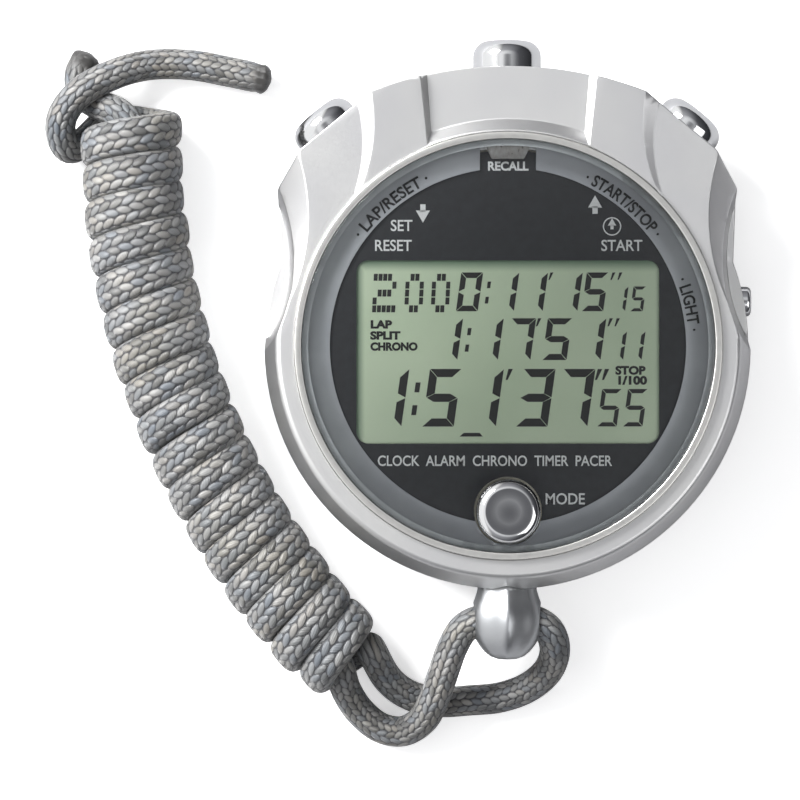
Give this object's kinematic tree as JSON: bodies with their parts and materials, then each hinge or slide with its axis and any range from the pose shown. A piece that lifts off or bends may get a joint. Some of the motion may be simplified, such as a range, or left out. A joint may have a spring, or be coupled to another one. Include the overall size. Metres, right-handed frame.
{
  "type": "digital stopwatch",
  "caption": "Round digital stopwatch with a metal case, sprung push buttons, a green liquid crystal display and a braided neck cord wound round itself.",
  "frame": {"origin": "on the outer face of the back cover, under the centre of the dial, which is the plane the stopwatch lies on", "axes": "+Z out through the crystal, +Y towards the recall button at the top, +X towards the light button"},
  "size_m": [0.0968, 0.0967, 0.0203],
  "materials": {
    "case_alloy": "satin silver plated zinc alloy",
    "cover_steel": "brushed stainless steel",
    "chrome_plate": "polished chrome plate",
    "ring_metal": "satin grey anodised",
    "tab_metal": "satin",
    "clear_crystal": "clear acrylic",
    "seal_rubber": "nitrile rubber",
    "dial_paint": "charcoal printed mask",
    "display_glass": "green liquid crystal display",
    "backlight_film": "milky light guide",
    "zebra_rubber": "elastomer contact strip",
    "frame_plastic": "moulded ABS",
    "board_laminate": "solder-masked glass epoxy",
    "chip_epoxy": "potting epoxy",
    "part_steel": "nickel plated steel",
    "part_ceramic": "chip ceramic",
    "contact_brass": "gold flashed brass",
    "spring_steel": "spring wire",
    "cord_braid": "braided grey polyester"
  },
  "bodies": {
    "watch": {"front_case": "case_alloy", "back_cover": "cover_steel", "cover_gasket": "seal_rubber", "cover_screws": "cover_steel", "bezel_ring": "chrome_plate", "chapter_ring": "ring_metal", "index_tab": "tab_metal", "crystal": "clear_crystal", "crystal_gasket": "seal_rubber", "dial_mask": "dial_paint", "lcd_glass": "display_glass", "backlight_panel": "backlight_film", "upper_zebra_strip": "zebra_rubber", "lower_zebra_strip": "zebra_rubber", "module_frame": "frame_plastic", "circuit_board": "board_laminate", "chip_cover": "chip_epoxy", "quartz_can": "part_steel", "capacitors": "part_ceramic", "board_screws": "cover_steel", "battery": "part_steel", "battery_holder": "frame_plastic", "positive_strap": "contact_brass", "negative_contact": "contact_brass", "buzzer_disc": "contact_brass", "buzzer_spring": "contact_brass", "contact_blades": "contact_brass", "function_contact": "contact_brass", "recall_spring": "spring_steel", "recall_seal": "seal_rubber", "lap_reset_spring": "spring_steel", "lap_reset_seal": "seal_rubber", "start_stop_spring": "spring_steel", "start_stop_seal": "seal_rubber", "light_spring": "spring_steel", "light_seal": "seal_rubber", "function_spring": "spring_steel", "function_seal": "seal_rubber", "cord_lug": "case_alloy", "cord_left_strand": "cord_braid", "cord_right_strand": "cord_braid", "cord_winding": "cord_braid", "cord_tail": "cord_braid", "cord_core_end": "cord_braid"},
    "recall_pusher": {"recall_button": "chrome_plate", "recall_clip": "part_steel"},
    "lap_reset_pusher": {"lap_reset_button": "chrome_plate", "lap_reset_clip": "part_steel"},
    "start_stop_pusher": {"start_stop_button": "chrome_plate", "start_stop_clip": "part_steel"},
    "light_pusher": {"light_button": "chrome_plate", "light_clip": "part_steel"},
    "function_pusher": {"function_button": "chrome_plate", "function_clip": "part_steel"}
  },
  "joints": [
    {"name": "press_recall", "type": "slide", "parent": "watch", "child": "recall_pusher", "axis": [0, -1, 0], "range_m": [0, 0.0012], "stiffness_N_per_m": 700, "springref_m": -0.0012, "deforming": ["recall_spring"]},
    {"name": "press_lap_reset", "type": "slide", "parent": "watch", "child": "lap_reset_pusher", "axis": [0.6361, -0.7716, 0], "range_m": [0, 0.0012], "stiffness_N_per_m": 700, "springref_m": -0.0012, "deforming": ["lap_reset_spring"]},
    {"name": "press_start_stop", "type": "slide", "parent": "watch", "child": "start_stop_pusher", "axis": [-0.6361, -0.7716, 0], "range_m": [0, 0.0012], "stiffness_N_per_m": 700, "springref_m": -0.0012, "deforming": ["start_stop_spring"]},
    {"name": "press_light", "type": "slide", "parent": "watch", "child": "light_pusher", "axis": [-1, 0, 0], "range_m": [0, 0.0007], "stiffness_N_per_m": 500, "springref_m": -0.0007, "deforming": ["light_spring"]},
    {"name": "press_function", "type": "slide", "parent": "watch", "child": "function_pusher", "axis": [0, 0, -1], "range_m": [0, 0.001], "stiffness_N_per_m": 700, "springref_m": -0.001, "deforming": ["function_spring"]}
  ]
}
